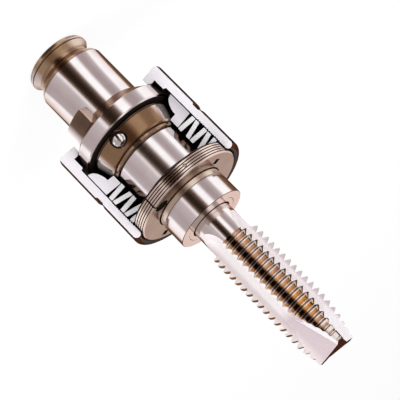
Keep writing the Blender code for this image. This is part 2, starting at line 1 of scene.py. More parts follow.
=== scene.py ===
import math
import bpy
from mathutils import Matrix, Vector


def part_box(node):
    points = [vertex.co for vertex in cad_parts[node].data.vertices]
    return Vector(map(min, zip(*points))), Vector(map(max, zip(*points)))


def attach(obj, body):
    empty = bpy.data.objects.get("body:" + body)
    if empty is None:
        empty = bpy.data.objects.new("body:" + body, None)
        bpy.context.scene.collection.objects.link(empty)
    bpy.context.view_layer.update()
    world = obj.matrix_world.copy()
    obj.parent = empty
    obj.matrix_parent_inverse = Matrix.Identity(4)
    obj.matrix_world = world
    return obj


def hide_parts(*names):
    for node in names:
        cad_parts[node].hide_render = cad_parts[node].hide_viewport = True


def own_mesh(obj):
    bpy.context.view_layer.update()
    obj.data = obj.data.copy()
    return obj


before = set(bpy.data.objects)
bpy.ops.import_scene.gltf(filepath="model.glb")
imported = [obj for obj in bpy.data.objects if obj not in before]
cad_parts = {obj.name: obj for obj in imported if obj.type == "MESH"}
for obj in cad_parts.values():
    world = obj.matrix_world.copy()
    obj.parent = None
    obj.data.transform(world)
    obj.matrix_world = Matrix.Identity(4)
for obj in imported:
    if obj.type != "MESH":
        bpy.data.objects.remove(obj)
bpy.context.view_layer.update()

from types import SimpleNamespace

import bmesh
import bpy
from mathutils import Matrix, Vector

# Sizes are millimetres unless they say otherwise; asObject scales what is built to metres.
mm = 0.001
print("frame loaded:", len(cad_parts), "solids")


def turnMesh(work, azimuth, axis="Z"):
    bmesh.ops.rotate(work, verts=work.verts, matrix=Matrix.Rotation(math.radians(azimuth), 3, axis))
    return work


def moveMesh(work, offset):
    bmesh.ops.translate(work, verts=work.verts, vec=offset)
    return work


def closeMesh(work):
    # fills every open rim
    rim = [edge for edge in work.edges if edge.is_boundary]
    bmesh.ops.holes_fill(work, edges=rim, sides=0)
    bmesh.ops.recalc_face_normals(work, faces=work.faces)
    return work


def spunMesh(outline, steps=160, start=0.0, sweep=360.0, closed=True, rise=0.0):
    # turns (radius, height) points round Z; closed joins the last point to the first
    work = bmesh.new()
    points = [work.verts.new((radius, 0.0, height)) for radius, height in outline]
    edges = [work.edges.new(pair) for pair in zip(points, points[1:])]
    if closed:
        edges.append(work.edges.new((points[-1], points[0])))
    turnMesh(work, start)
    whole = sweep > 359.9 and rise == 0.0
    bmesh.ops.spin(work, geom=points + edges, axis=(0, 0, 1), angle=math.radians(sweep),
                   dvec=(0, 0, rise / steps), steps=steps, use_merge=whole)
    bmesh.ops.remove_doubles(work, verts=work.verts, dist=0.004)
    if not whole and rise == 0.0:
        return closeMesh(work)
    bmesh.ops.recalc_face_normals(work, faces=work.faces)
    return work


def openRingMesh(outline, steps=150):
    # the part of a ring that the cut-out leaves, with a flat face at each end
    return spunMesh(outline, steps, start=cutOut["firstFace"], sweep=360.0 - cutOut["angle"])


def barMesh(radius, low, high, sides=48):
    work = bmesh.new()
    bmesh.ops.create_cone(work, cap_ends=True, segments=sides, radius1=radius, radius2=radius,
                          depth=high - low)
    return moveMesh(work, (0, 0, (low + high) / 2))


def blockMesh(length, width, height, centre, turn=0.0, bevel=0.0):
    work = bmesh.new()
    bmesh.ops.create_cube(work, size=1.0)
    bmesh.ops.scale(work, verts=work.verts, vec=(length, width, height))
    if bevel:
        bmesh.ops.bevel(work, geom=work.edges[:], offset=bevel, segments=2, profile=0.5,
                        affect="EDGES", material=-1)
    return moveMesh(turnMesh(work, turn), centre)


def ballMesh(radius, centre):
    work = bmesh.new()
    bmesh.ops.create_icosphere(work, subdivisions=4, radius=radius)
    return moveMesh(work, centre)


def place(radius, azimuth, height=0.0):
    turn = math.radians(azimuth)
    return Vector((radius * math.cos(turn), radius * math.sin(turn), height))


def radialBar(radius, inner, outer, azimuth, height, sides=48):
    work = turnMesh(barMesh(radius, inner, outer, sides), 90.0, "Y")
    return moveMesh(turnMesh(work, azimuth), (0, 0, height))


def arcPoints(centre, radius, first, last, steps=6):
    # (radius, height) points along an arc in the turning plane, angles in degrees
    angles = [math.radians(first + (last - first) * i / steps) for i in range(steps + 1)]
    return [(centre[0] + radius * math.cos(a), centre[1] + radius * math.sin(a)) for a in angles]


def roundedOutline(points, roundings, steps=4):
    # rounds each corner of a closed outline by the distance given for it, 0 leaves it sharp
    rounded = []
    for index, corner in enumerate(points):
        reach = roundings.get(index, 0.0)
        if reach == 0.0:
            rounded.append(corner)
            continue
        here = Vector(corner)
        before = here + (Vector(points[index - 1]) - here).normalized() * reach
        after = here + (Vector(points[(index + 1) % len(points)]) - here).normalized() * reach
        for step in range(steps + 1):
            share = step / steps
            bent = before.lerp(here, share).lerp(here.lerp(after, share), share)
            rounded.append((bent.x, bent.y))
    return rounded


def fineOutline(points, longest):
    # adds points to long straight runs, so that a cut through them leaves the shading even
    fine = []
    for index, point in enumerate(points):
        here, after = Vector(point), Vector(points[(index + 1) % len(points)])
        parts = max(1, math.ceil((after - here).length / longest))
        fine += [tuple(here.lerp(after, part / parts)) for part in range(parts)]
    return fine


def asObject(name, work, finishes=()):
    # a bmesh in millimetres becomes an object in metres
    bmesh.ops.scale(work, verts=work.verts, vec=(mm, mm, mm))
    mesh = bpy.data.meshes.new(name)
    work.to_mesh(mesh)
    work.free()
    made = bpy.data.objects.new(name, mesh)
    bpy.context.scene.collection.objects.link(made)
    for finish in finishes:
        mesh.materials.append(finish)
    return made


def carve(piece, cutters, operation="DIFFERENCE"):
    # cuts or joins with each cutter in turn, and keeps the result as the piece's mesh
    for cutter in cutters:
        change = piece.modifiers.new(cutter.name, "BOOLEAN")
        change.operation = operation
        change.solver = "EXACT"
        change.object = cutter
    bpy.context.view_layer.update()
    graph = bpy.context.evaluated_depsgraph_get()
    result = bpy.data.meshes.new_from_object(piece.evaluated_get(graph))
    piece.modifiers.clear()
    piece.data = result
    for cutter in cutters:
        bpy.data.objects.remove(cutter, do_unlink=True)
    return piece


def finishPiece(piece, body, nodes, sharp=32.0):
    piece.data.shade_smooth()
    piece.data.set_sharp_from_angle(angle=math.radians(sharp))
    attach(piece, body)
    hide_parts(*nodes)
    return piece


def radiusOf(centre):
    return math.hypot(centre.x, centre.y)


def within(low=-1e9, high=1e9, inner=-1.0, outer=1e9):
    # a test for paintFaces: does the face's centre lie between these heights and these radii
    def test(centre, normal):
        return low < centre.z < high and inner < radiusOf(centre) < outer
    return test


def paintFaces(piece, *choices):
    # each choice is (slot, test): the slot goes to every face whose centre and normal pass
    for index, chosen in choices:
        for face in piece.data.polygons:
            if chosen(face.center / mm, face.normal):
                face.material_index = index
    return piece


def newGroup(name, inputs, outputs):
    group = bpy.data.node_groups.new(name, "ShaderNodeTree")
    for label, kind, value in inputs:
        socket = group.interface.new_socket(name=label, in_out="INPUT", socket_type=kind)
        if value is not None:
            socket.default_value = value
    for label in outputs:
        group.interface.new_socket(name=label, in_out="OUTPUT", socket_type="NodeSocketFloat")
    return group, group.nodes.new("NodeGroupInput"), group.nodes.new("NodeGroupOutput")


def fillInputs(tree, node, inputs):
    # each input gets another node's output, a number or a colour of three parts
    for socket, value in inputs.items():
        if isinstance(value, bpy.types.NodeSocket):
            tree.links.new(value, node.inputs[socket])
        else:
            filled = (*value, 1.0) if isinstance(value, tuple) else value
            node.inputs[socket].default_value = filled


def addNode(tree, kind, inputs=None, **settings):
    node = tree.nodes.new("ShaderNode" + kind)
    for setting, value in settings.items():
        setattr(node, setting, value)
    fillInputs(tree, node, inputs or {})
    return node


def mathNode(tree, operation, first, second=0.5, clamp=False):
    return addNode(tree, "Math", {0: first, 1: second}, operation=operation,
                   use_clamp=clamp).outputs[0]


def turnedMarksGroup():
    # lines that a lathe or grinding wheel leaves round the axis, with a slow drift in tone
    group, given, out = newGroup("turnedMarks", [
        ("Coordinates", "NodeSocketVector", None), ("Lines per mm", "NodeSocketFloat", 8.0),
        ("Drift", "NodeSocketFloat", 0.5)], ["Lines", "Tone"])
    where = given.outputs["Coordinates"]
    x, y, z = addNode(group, "SeparateXYZ", {0: where}).outputs
    radius = mathNode(group, "SQRT", mathNode(
        group, "ADD", mathNode(group, "MULTIPLY", x, x), mathNode(group, "MULTIPLY", y, y)))
    along = mathNode(group, "MULTIPLY", mathNode(group, "ADD", z, radius), 1000.0)
    stretched = addNode(group, "CombineXYZ", {
        0: mathNode(group, "MULTIPLY", x, 60.0), 1: mathNode(group, "MULTIPLY", y, 60.0),
        2: mathNode(group, "MULTIPLY", along, given.outputs["Lines per mm"])})
    fine = addNode(group, "TexNoise", {"Vector": stretched.outputs[0], "Scale": 1.0,
                                       "Detail": 3.0, "Roughness": 0.7})
    slow = addNode(group, "TexNoise", {"Vector": where, "Scale": 220.0, "Detail": 4.0})
    drift = mathNode(group, "MULTIPLY", mathNode(group, "SUBTRACT", slow.outputs[0], 0.5),
                     given.outputs["Drift"])
    fillInputs(group, out, {"Lines": fine.outputs[0],
                            "Tone": mathNode(group, "ADD", drift, 0.5, clamp=True)})
    return group


def speckleGroup():
    # fine grain, as on blasted, painted or ground flat faces
    group, given, out = newGroup("speckle", [
        ("Coordinates", "NodeSocketVector", None), ("Grains per mm", "NodeSocketFloat", 6.0),
    ], ["Grain", "Patches"])
    stretched = addNode(group, "VectorMath", {
        0: given.outputs["Coordinates"],
        "Scale": mathNode(group, "MULTIPLY", given.outputs["Grains per mm"], 1000.0),
    }, operation="SCALE").outputs[0]
    for label, scale, detail in (("Grain", 1.0, 2.0), ("Patches", 0.08, 4.0)):
        noise = addNode(group, "TexNoise", {"Vector": stretched, "Scale": scale, "Detail": detail})
        fillInputs(group, out, {label: noise.outputs[0]})
    return group


turnedMarks = turnedMarksGroup()
speckle = speckleGroup()
print("shader groups built")


def objectPlace(tree):
    return addNode(tree, "TexCoord").outputs["Object"]


def placeGroup(tree, group, settings):
    node = addNode(tree, "Group", node_tree=group)
    fillInputs(tree, node, {"Coordinates": objectPlace(tree), **settings})
    return node.outputs


def mixTones(tree, share, first, second):
    mix = addNode(tree, "Mix", data_type="RGBA")
    fillInputs(tree, mix, {"Factor": share, "A": first, "B": second})
    return mix.outputs["Result"]


def rangeBetween(tree, value, **ends):
    # ends are From_Min, From_Max, To_Min and To_Max, each 0 or 1 where it is left out
    inputs = {end.replace("_", " "): number for end, number in ends.items()}
    return addNode(tree, "MapRange", {"Value": value, **inputs}).outputs[0]


def addZones(tree, tint, zones):
    # each zone is (axis, low, high, colour): the tint turns into colour from low to high along axis
    for axis, low, high, colour in zones:
        split = addNode(tree, "SeparateXYZ", {0: objectPlace(tree)})
        share = rangeBetween(tree, split.outputs[axis], From_Min=low * mm, From_Max=high * mm)
        tint = mixTones(tree, share, tint, colour)
    return tint


def tintBetween(tree, share, first, second, zones):
    # a colour that runs from first to second within the middle of share's range, then the zones
    steep = rangeBetween(tree, share, From_Min=0.35, From_Max=0.65)
    return addZones(tree, mixTones(tree, steep, first, second), zones)


def newMaterial(name):
    made = bpy.data.materials.new(name)
    made.use_nodes = True
    return made, made.node_tree


def coverWith(tree, tint, rough, relief, bump, metallic, edge):
    # fills the material's own shader, with relief as the height of its fine bumps
    bumps = addNode(tree, "Bump", {"Strength": bump, "Distance": 0.00002, "Height": relief})
    fillInputs(tree, tree.nodes["Principled BSDF"], {
        "Base Color": tint, "Roughness": rough, "Metallic": metallic, "Specular Tint": edge,
        "Normal": bumps.outputs[0]})


def steelFinish(name, first, second, rough, lines=8.0, bump=0.15, drift=0.6, metallic=1.0,
                edge=(1.0, 1.0, 1.0), zones=()):
    # first and second are the tones that it drifts between, edge the tone of a grazing look
    made, tree = newMaterial(name)
    marks = placeGroup(tree, turnedMarks, {"Lines per mm": lines, "Drift": drift})
    spread = rangeBetween(tree, marks["Lines"], To_Min=rough * 0.8, To_Max=rough * 1.25)
    coverWith(tree, tintBetween(tree, marks["Tone"], first, second, zones), spread,
              marks["Lines"], bump, metallic, edge)
    return made


def grainFinish(name, first, second, rough, grains=6.0, metallic=0.0, mirrored=None, zones=(),
                mirroredZones=()):
    # mirrored is a painted reflection: the tone that polished metal nearby shows of it, in place of
    # its own colour
    made, tree = newMaterial(name)
    marks = placeGroup(tree, speckle, {"Grains per mm": grains})
    blend = mathNode(tree, "ADD", mathNode(tree, "MULTIPLY", marks["Grain"], 0.5),
                     mathNode(tree, "MULTIPLY", marks["Patches"], 0.5))
    tint = tintBetween(tree, blend, first, second, zones)
    if mirrored:
        glossy = addNode(tree, "LightPath").outputs["Is Glossy Ray"]
        tint = mixTones(tree, glossy, tint, addZones(tree, mirrored, mirroredZones))
    spread = rangeBetween(tree, marks["Patches"], To_Min=rough * 0.85, To_Max=rough * 1.2)
    coverWith(tree, tint, spread, marks["Grain"], 0.2, metallic, (1.0, 1.0, 1.0))
    return made


groundSteel = steelFinish("groundSteel", (0.84, 0.78, 0.78), (0.92, 0.87, 0.88), 0.13,
    edge=(0.5, 0.34, 0.26))
drumSteel = steelFinish("drumSteel", (0.86, 0.8, 0.8), (0.94, 0.89, 0.9), 0.18,
    edge=(0.6, 0.42, 0.33))
brownSteel = steelFinish("brownSteel", (0.36, 0.23, 0.15), (0.5, 0.34, 0.23), 0.25, lines=6.0)
# its zones are painted reflection: a dark stripe near X 0 and pale sides out from X 5 and X -4.6
knobSteel = steelFinish("knobSteel", (0.42, 0.26, 0.155), (0.55, 0.38, 0.26), 0.34, lines=5.0,
    metallic=0.85, edge=(0.6, 0.48, 0.42), zones=[(0, -2.6, -0.8, (0.34, 0.2, 0.11)),
    (0, 1.2, 2.6, (0.48, 0.32, 0.2)), (0, 5.0, 6.6, (0.86, 0.76, 0.75)),
    (0, -4.6, -6.2, (0.84, 0.7, 0.62))])
# its zone is a painted reflection, pale on the outer faces out from X 8.6
lugSteel = steelFinish("lugSteel", (0.17, 0.11, 0.075), (0.26, 0.175, 0.12), 0.36, lines=4.0,
    zones=[(0, 8.6, 10.6, (1.0, 0.93, 0.95))])
# its zones are painted reflection: a dark stripe near X 0 and pale sides out from X 8.4 and X -8.5
cageSteel = steelFinish("cageSteel", (0.27, 0.145, 0.075), (0.38, 0.23, 0.14), 0.18, lines=5.0,
    metallic=0.8, zones=[(0, -2.4, -0.8, (0.17, 0.08, 0.035)), (0, 0.9, 2.6, (0.32, 0.19, 0.11)),
    (0, -8.5, -9.8, (0.98, 0.84, 0.78)), (0, 8.4, 9.9, (0.95, 0.82, 0.77))])
wallSteel = steelFinish("wallSteel", (0.8, 0.64, 0.55), (0.88, 0.72, 0.63), 0.36, lines=5.0)
faceSteel = steelFinish("faceSteel", (0.38, 0.28, 0.24), (0.48, 0.37, 0.32), 0.2, lines=5.0,
    bump=0.3)
paleFace = steelFinish("paleFace", (0.86, 0.72, 0.68), (0.95, 0.82, 0.78), 0.1, lines=5.0,
    bump=0.05)
bandSteel = steelFinish("bandSteel", (0.74, 0.57, 0.47), (0.84, 0.68, 0.58), 0.22)
# its zones are painted reflection: a dark stripe near X 0
crestSteel = steelFinish("crestSteel", (0.86, 0.78, 0.74), (0.94, 0.88, 0.84), 0.3, metallic=0.8,
    zones=[(0, -1.1, -0.5, (0.26, 0.17, 0.12)), (0, 0.8, 1.4, (0.9, 0.83, 0.79))])
sleeveSteel = steelFinish("sleeveSteel", (0.15, 0.1, 0.075), (0.22, 0.155, 0.12), 0.3, lines=6.0,
    edge=(0.3, 0.2, 0.15))
boreSteel = steelFinish("boreSteel", (0.62, 0.55, 0.53), (0.72, 0.65, 0.63), 0.4, metallic=0.5)
threadSteel = steelFinish("threadSteel", (0.8, 0.63, 0.54), (0.92, 0.77, 0.69), 0.2, lines=4.0)
# painted shade for the nut's outer grooves
grooveShade = steelFinish("grooveShade", (0.1, 0.06, 0.04), (0.16, 0.1, 0.07), 0.4)
# painted shade: dark lines on the knob's edge and rim, the collar's groove and top edge, and the
# tap's land edges and tip
edgeShade = steelFinish("edgeShade", (0.1, 0.065, 0.043), (0.16, 0.11, 0.075), 0.4,
    edge=(0.3, 0.18, 0.12))
# black oxide steel on the lock screw and the snap ring, and painted shade in black on faces in
# hollows and gaps
blackSteelAndShade = steelFinish("blackSteelAndShade", (0.012, 0.008, 0.006), (0.022, 0.015, 0.011), 0.5,
    metallic=0.4)
# its last two zones are painted reflection: a dark stripe near X 0
goldThread = steelFinish("goldThread", (0.84, 0.64, 0.5), (0.9, 0.7, 0.54), 0.16, lines=4.0,
    drift=1.5, edge=(0.2, 0.12, 0.07), zones=[(2, 82.0, 92.0, (0.98, 0.66, 0.26)),
    (2, 95.0, 99.0, (0.86, 0.72, 0.62)), (0, -0.9, -0.3, (0.26, 0.14, 0.07)),
    (0, 0.7, 1.2, (0.92, 0.68, 0.44))])
# its zones are painted shade and light: darker from z 89.5 towards the tip, back to pale out from X
# -2.5, and darker out from X 3.9 and X -5.2
fluteSteel = steelFinish("fluteSteel", (0.97, 0.91, 0.91), (1.0, 0.96, 0.96), 0.38, lines=3.0,
    bump=0.1, metallic=0.25, zones=[(2, 89.5, 92.5, (0.72, 0.61, 0.64)),
    (0, 3.9, 5.4, (0.86, 0.76, 0.76)), (0, -2.5, -3.5, (0.97, 0.89, 0.91)),
    (0, -5.2, -5.9, (0.84, 0.74, 0.75))])
# its zone is painted shade, darker out from X -5
pointSteel = steelFinish("pointSteel", (0.98, 0.92, 0.95), (1.0, 0.97, 1.0), 0.42, lines=3.0,
    bump=0.05, metallic=0.1, zones=[(0, -5.0, -5.8, (0.66, 0.55, 0.58))])
ballSteel = steelFinish("ballSteel", (0.86, 0.85, 0.86), (0.9, 0.89, 0.9), 0.06, bump=0.0)
sectionPaint = grainFinish("sectionPaint", (0.97, 0.92, 0.98), (1.0, 0.97, 1.0), 0.5)
# its zone is painted shade, greying the cut face out from X -11.5
ringPaint = grainFinish("ringPaint", (0.92, 0.88, 0.94), (0.98, 0.95, 1.0), 0.5,
    zones=[(0, -11.5, -14.5, (0.62, 0.58, 0.62))])
# mirrored is a painted reflection: polished metal nearby shows these white faces dark brown
springPaint = grainFinish("springPaint", (0.94, 0.93, 0.95), (1.0, 0.99, 1.0), 0.45,
    mirrored=(0.24, 0.15, 0.11))
# painted shade on the thread's downward flanks, which polished metal nearby sees as a painted gold
# reflection; the zones of both paint a dark reflected stripe near X 0
flankShade = grainFinish("flankShade", (0.34, 0.21, 0.14), (0.44, 0.29, 0.2), 0.3, metallic=1.0,
    zones=[(0, -0.9, -0.4, (0.1, 0.05, 0.03)), (0, 0.7, 1.2, (0.38, 0.25, 0.17))],
    mirrored=(0.95, 0.7, 0.52), mirroredZones=[(0, -1.0, -0.3, (0.08, 0.04, 0.02)),
    (0, 0.8, 1.5, (0.88, 0.64, 0.46))])
naturalNylon = grainFinish("naturalNylon", (0.42, 0.33, 0.28), (0.52, 0.43, 0.37), 0.5, grains=3.0)
print("finishes built")


cutOut = {
    "angle": 148.0,      # degrees left out, centred on the side that faces -Y
    "firstFace": -16.0,  # azimuth of the first cut face
    "lastFace": 196.0,
}


def isCutFace(centre, normal):
    # the two flat faces that the cut-out leaves, told by their normals
    first = place(1.0, cutOut["firstFace"] - 90.0)
    last = place(1.0, cutOut["lastFace"] + 90.0)
    return max(normal.dot(first), normal.dot(last)) > 0.995


driver = {
    "endRadius": 7.9, "knobRadius": 8.95, "knobRounding": 1.66,
    "neckRadius": 7.75, "neckLow": 3.9, "neckHigh": 4.9, "shoulderHigh": 7.2,
    "plugRadius": 9.5, "plugHigh": 21.9, "flangeRadius": 13.6, "flangeLow": 25.3,
    "flangeHigh": 29.3, "flangeBevel": 0.3,
    "spigotBore": 10.9, "recessLow": 27.4, "journalBore": 9.5, "shoulder": 25.0,
    "stemBore": 7.4, "boreFloor": 8.57,
    "centreDrill": [(0.0, 2.6), (0.7, 2.2), (0.7, 1.6), (1.9, 0.25), (2.2, 0.0)],
    "lugRadius": 12.0, "lugInner": 8.0, "lugWidth": 8.2, "lugLow": 19.1, "lugAzimuth": -48.0,
    "lugBevel": 0.35,
}


def buildDriver():
    size = SimpleNamespace(**driver)
    knob, neck, plug, flange = (size.knobRadius, size.neckRadius, size.plugRadius,
                                size.flangeRadius)
    edge, neckTop, plugFoot = size.knobRounding, size.neckHigh, size.shoulderHigh
    outline = size.centreDrill + [(size.endRadius - 0.2, 0.0)]
    outline += arcPoints((size.endRadius - 0.55, 1.6), 1.6, -70, -8, 8)
    outline += [(knob - 0.18, edge), (knob - 0.2, edge + 0.32), (knob - 0.02, edge + 0.36),
                (knob - 0.08, edge + 0.44)]
    # hollow flank from the knob's edge to the neck
    for share in (0.15, 0.3, 0.45, 0.6, 0.75, 0.9, 1.0):
        outline.append((neck + (knob - neck) * (1 - share) ** 1.7,
                        edge + 0.44 + share * (size.neckLow - edge - 0.34)))
    outline += [(neck, neckTop - 0.3), (neck + 0.15, neckTop - 0.05), (neck + 0.62, neckTop + 0.45),
                (neck + 1.2, neckTop + 1.1), (plug - 0.22, plugFoot - 0.65),
                (plug - 0.05, plugFoot - 0.25), (plug, plugFoot), (plug, size.plugHigh - 0.05),
                (plug + 0.1, size.plugHigh + 0.05), (flange - 0.2, size.flangeLow - 0.12),
                (flange, size.flangeLow + 0.08), (flange, size.flangeHigh - size.flangeBevel),
                (flange - size.flangeBevel, size.flangeHigh), (size.spigotBore, size.flangeHigh),
                (size.spigotBore, size.recessLow), (size.journalBore, size.recessLow),
                (size.journalBore, size.shoulder), (size.stemBore, size.shoulder),
                (size.stemBore, size.boreFloor), (0.0, size.boreFloor)]
    finishes = [groundSteel, brownSteel, lugSteel, blackSteelAndShade, knobSteel, wallSteel, edgeShade]
    body = asObject("driverTurned", spunMesh(outline, 192, closed=False), finishes)
    lugs = []
    low, high = size.lugLow, size.shoulder - 0.3
    reach = size.lugRadius - size.lugInner
    for side in range(2):
        block = blockMesh(reach, size.lugWidth, high - low,
                          (size.lugInner + 0.4 + reach / 2, 0, (high + low) / 2),
                          bevel=size.lugBevel)
        lug = asObject(f"lug{side + 1}", turnMesh(block, size.lugAzimuth + 180.0 * side), finishes)
        outside = barMesh(size.lugRadius, low - 1.0, high + 1.0, 192)
        carve(lug, [asObject("lugRounding", outside)], "INTERSECT")
        lugs.append(paintFaces(lug, (5, within()), (2, within(inner=size.lugRadius - 0.1))))
    carve(body, lugs, "UNION")

    def isCone(centre, normal):
        # the cone below the flange, between the lugs
        outward = normal.x * centre.x + normal.y * centre.y
        return size.plugHigh < centre.z < size.flangeLow - 0.05 and normal.z < -0.5 \
            and outward > 0.5 * radiusOf(centre)
    paintFaces(
        body, (4, within(high=neckTop)), (1, within(neckTop, plugFoot - 0.12)), (1, isCone),
        (1, within(size.neckLow - 0.5, neckTop + 0.1)),
        # painted shade in black on the flange's top face, seen in the gap under the cage, and on
        # what the flange and the stem hide
        (3, within(size.flangeHigh - 0.02)), (3, within(7.3, outer=size.journalBore - 0.1)),
        # painted shade: the dark line along the knob's edge, and its dark end rim
        (6, within(edge - 0.05, edge + 0.46, neck + 0.9)),
        (6, within(0.02, 0.45, size.endRadius - 0.15)))
    finishPiece(body, "holder", ["driver_body"], sharp=28.0)


buildDriver()
print("driver modelled")


cage = {
    "bore": 9.5, "spigot": 10.6, "spigotLow": 27.7, "low": 29.6, "high": 35.0,
    "lowRadius": 11.7, "highRadius": 10.4, "lip": 0.45,
    "holeRadius": 2.3, "holeEnds": (6.0, 20.0), "ballRadius": 2.0, "ballReach": 10.5,
    "ballHeight": 31.9,
    "balls": {"clutch_ball_1": -76.0, "clutch_ball_2": 44.0, "clutch_ball_3": 164.0},
}


def buildCage():
    size = SimpleNamespace(**cage)
    low, high, wide, lip = size.low, size.high, size.lowRadius, size.lip
    outline = [(size.bore, size.spigotLow), (size.spigot, size.spigotLow), (size.spigot, low),
               (wide - lip, low), (wide, low + lip), (wide - 0.02, low + lip + 0.08),
               (wide - 0.16, low + lip + 0.1), (wide - 0.19, low + lip + 0.34),
               (wide - 0.1, low + lip + 0.36), (size.highRadius, high - lip),
               (size.highRadius - lip, high), (size.bore, high)]
    outline = roundedOutline(outline, {3: 0.12, 9: 0.15, 10: 0.12}, 3)
    ring = asObject("cageTurned", spunMesh(fineOutline(outline, 0.5), 192),
                    [cageSteel, blackSteelAndShade, brownSteel])
    cutters = [asObject(name + "Hole", radialBar(
        size.holeRadius, *size.holeEnds, azimuth, size.ballHeight))
        for name, azimuth in size.balls.items()]
    carve(ring, cutters)

    def isHoleWall(centre, normal):
        middles = [place(radiusOf(centre), azimuth, size.ballHeight)
                   for azimuth in size.balls.values()]
        return min((centre - middle).length for middle in middles) < size.holeRadius + 0.03
    # painted shade in black on the ball holes' walls, the spigot and the underside, and as the dark
    # line above the lip; the lip itself is brown
    paintFaces(ring, (1, isHoleWall), (1, within(high=low + 0.02)),
               (2, within(low + 0.02, low + lip + 0.08)),
               (1, within(low + lip + 0.08, low + lip + 0.36, size.spigot)))
    finishPiece(ring, "holder", ["ball_cage"])
    for name, azimuth in size.balls.items():
        ball = ballMesh(size.ballRadius, place(size.ballReach, azimuth, size.ballHeight))
        finishPiece(asObject(name + "Polished", ball, [ballSteel]), name, [name],
                    sharp=180.0)


buildCage()
print("cage and clutch balls modelled")


stack = {
    "ringRadius": 15.1, "ringLow": 30.6, "ringHigh": 37.8, "ringStep": 35.0,
    # the curved nose that presses the balls, (radius, height)
    "nose": [(13.9, 30.95), (13.05, 31.9), (12.65, 32.9), (12.35, 33.9), (12.25, 35.0)],
    "ringInner": 10.35, "discInner": 10.2, "discTop": 37.95, "discPitch": 2.18,
    "discThickness": 1.25, "discCone": 0.78, "discRounding": 0.22,
    "middle": 42.2, "keeps": (0.735, 0.69),   # where the stack stays put, how flat each half gets
    "seatLow": 46.67, "seatThickness": 1.2,
}


def buildStack():
    size = SimpleNamespace(**stack)
    outer = size.ringRadius
    nose = [(outer, size.ringLow), *size.nose, (size.ringInner, size.ringStep),
            (size.ringInner, size.ringHigh), (outer, size.ringHigh)]
    nose = roundedOutline(nose, {1: 0.3, 2: 0.4, 3: 0.35, 4: 0.35, 6: 0.2, 7: 0.2, 8: 0.2}, 3)
    # painted shade: every face but the cut ones is black
    ring = asObject("thrustRingTurned", openRingMesh(nose), [blackSteelAndShade, ringPaint])
    finishPiece(paintFaces(ring, (1, isCutFace)), "thrust_ring", ["thrust_ring"])
    for index in range(4):
        top = size.discTop + index * size.discPitch
        coned = index % 2 == 0
        innerTop = top if coned else top + size.discCone
        outerTop = top + size.discCone if coned else top
        outline = [(size.discInner, innerTop), (outer, outerTop),
                   (outer, outerTop + size.discThickness),
                   (size.discInner, innerTop + size.discThickness)]
        outline = roundedOutline(outline, {i: size.discRounding for i in range(4)}, 4)
        name = f"disc_spring_{index + 1}"
        disc = asObject(name + "Turned", openRingMesh(outline), [brownSteel, springPaint])
        finishPiece(paintFaces(disc, (1, isCutFace)), "holder", [name])
        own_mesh(disc)
    low, high = size.seatLow, size.seatLow + size.seatThickness
    outline = [(size.discInner, low), (outer, low), (outer, high), (size.discInner, high)]
    outline = roundedOutline(outline, {i: size.discRounding for i in range(4)}, 4)
    # painted shade: every face but the cut ones is black
    seat = asObject("springSeatTurned", openRingMesh(outline), [blackSteelAndShade, springPaint])
    finishPiece(paintFaces(seat, (1, isCutFace)), "spring_seat", ["spring_seat"])


buildStack()
print("thrust ring, disc springs and seat modelled")


sleeve = {
    "radius": 17.6, "bore": 15.4, "upperBore": 14.7, "lipHole": 12.5, "lipSeat": 24.9,
    "lipLow": 22.27, "lipEdge": 0.5, "upperBoreHigh": 28.6, "grooveLow": 36.6,
    "grooveWidth": 2.6, "grooveDepth": 0.4, "skirt": 17.45, "high": 51.77,
    "threadLow": 40.2, "threadPitch": 0.7, "threadDepth": 0.22, "threadTurns": 12,
}


def buildSleeve():
    size = SimpleNamespace(**sleeve)
    radius, bore, flange = size.radius, size.bore, driver["flangeRadius"]
    nib = (size.skirt - bore) / 2
    grooveHigh, deep = size.grooveLow + size.grooveWidth, radius - size.grooveDepth
    outline = [(size.lipHole, size.lipLow), (radius - size.lipEdge, size.lipLow),
               (radius, size.lipLow + size.lipEdge), (radius, size.grooveLow),
               (deep, size.grooveLow + 0.3), (deep, grooveHigh - 0.3), (size.skirt, grooveHigh)]
    outline += arcPoints((bore + nib, size.high - nib), nib, 0, 180, 16)
    for turn in range(size.threadTurns, 0, -1):
        here = size.threadLow + turn * size.threadPitch
        outline += [(bore, here), (bore + size.threadDepth, here - size.threadPitch * 0.35),
                    (bore, here - size.threadPitch * 0.7)]
    slope = (flange - driver["plugRadius"]) / (driver["flangeLow"] - driver["plugHigh"])
    outline += [(bore, size.upperBoreHigh), (size.upperBore, size.upperBoreHigh - 0.4),
                (size.upperBore, size.lipSeat), (flange, size.lipSeat),
                (size.lipHole, size.lipSeat - (flange - size.lipHole) / slope)]
    body = asObject("sleeveTurned", openRingMesh(outline, 170),
                    [sleeveSteel, sectionPaint, blackSteelAndShade, boreSteel])

    def isInside(centre, normal):
        inward = normal.x * centre.x + normal.y * centre.y < -0.2 * radiusOf(centre)
        return inward and centre.z > size.lipSeat + 0.2

    def isUpperBore(centre, normal):
        return isInside(centre, normal) and centre.z < size.upperBoreHigh - 0.5
    # painted shade in black on the inside faces, paler steel on the upper bore and white paint on
    # the cut faces
    paintFaces(body, (2, isInside), (3, isUpperBore), (1, isCutFace))
    finishPiece(body, "holder", ["housing"])


buildSleeve()
print("sleeve modelled")


stem = {
    "stemRadius": 7.1, "low": 8.87, "shoulder": 25.6, "journal": 9.2, "grooveLow": 35.0,
    "groove": 8.85, "drumLow": 36.6, "drum": 9.5, "drumHigh": 46.6, "drumBevel": 0.4,
    "nose": 7.2, "bore": 5.95, "noseBevel": 0.05,
    "lockHeight": 53.87, "lockRadius": 1.2, "lockEnds": (3.0, 9.0), "lockAzimuth": -16.0,
    "squareHigh": 22.17, "square": 9.6, "socketLength": 13.0,
    "wire": 0.35, "coils": 2.5, "springTravel": 2.2,
}


